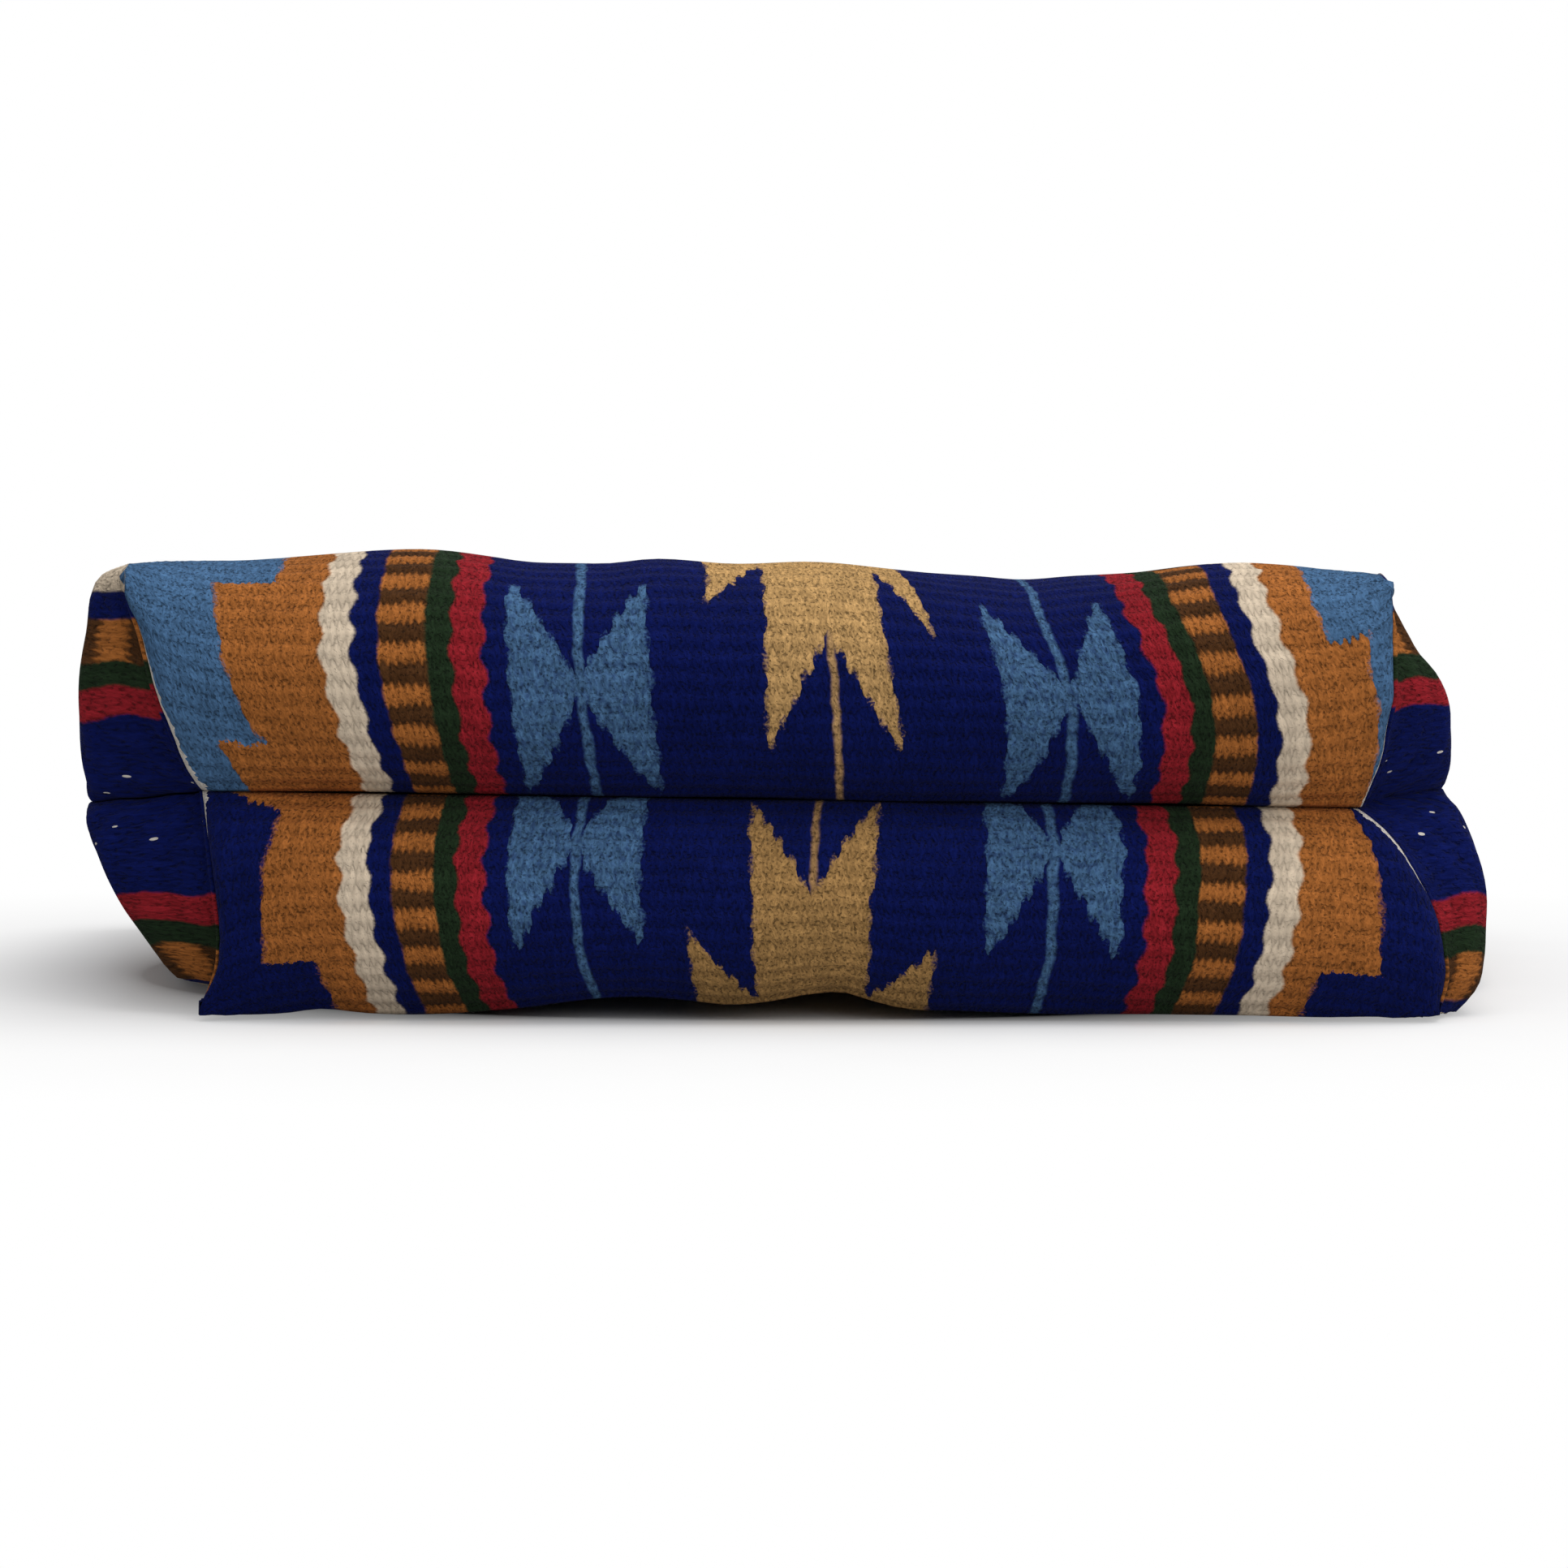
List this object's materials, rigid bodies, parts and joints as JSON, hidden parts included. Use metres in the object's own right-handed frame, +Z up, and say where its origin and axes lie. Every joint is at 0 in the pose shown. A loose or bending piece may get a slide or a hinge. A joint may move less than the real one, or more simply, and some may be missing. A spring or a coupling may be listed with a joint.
{
  "type": "zip-top purse",
  "caption": "Soft woven wool purse with boxed bottom corners and a striped geometric weave, closed along the top by a metal zip with a swinging pull.",
  "frame": {"origin": "middle of the flat face that the purse rests on, on the outside of the back panel, midway from the bottom seam to the zip", "axes": "+X across the purse towards the closed end of the zip, +Y from the bottom to the zip, +Z up from the resting face"},
  "size_m": [0.3716, 0.2296, 0.1078],
  "materials": {
    "woven_wool": "weft-faced wool weave, matt and slightly fuzzy, dark blue with stripes and motifs in red, green, white, orange, brown, tan and light blue",
    "zip_tape": "fine twill cotton tape, dark navy, matt",
    "zip_brass": "polished brass, lightly worn"
  },
  "bodies": {
    "purse": {"front_panel": "woven_wool", "back_panel": "woven_wool", "zip_tape_front": "zip_tape", "zip_tape_back": "zip_tape", "zip_teeth_front": "zip_brass", "zip_teeth_back": "zip_brass", "zip_top_stop_front": "zip_brass", "zip_top_stop_back": "zip_brass", "zip_bottom_stop": "zip_brass"},
    "slider": {"zip_slider": "zip_brass"},
    "pull": {"zip_pull": "zip_brass"}
  },
  "joints": [
    {"name": "zip_slide", "type": "slide", "parent": "purse", "child": "slider", "axis": [-1, 0, 0], "range_m": [0, 0.271], "deforming": ["zip_teeth_front", "zip_teeth_back"]},
    {"name": "pull_swing", "type": "hinge", "parent": "slider", "child": "pull", "pos_m": [0.1383, 0.1065, 0.02], "axis": [0, 0, -1], "range_deg": [0, 180]}
  ]
}
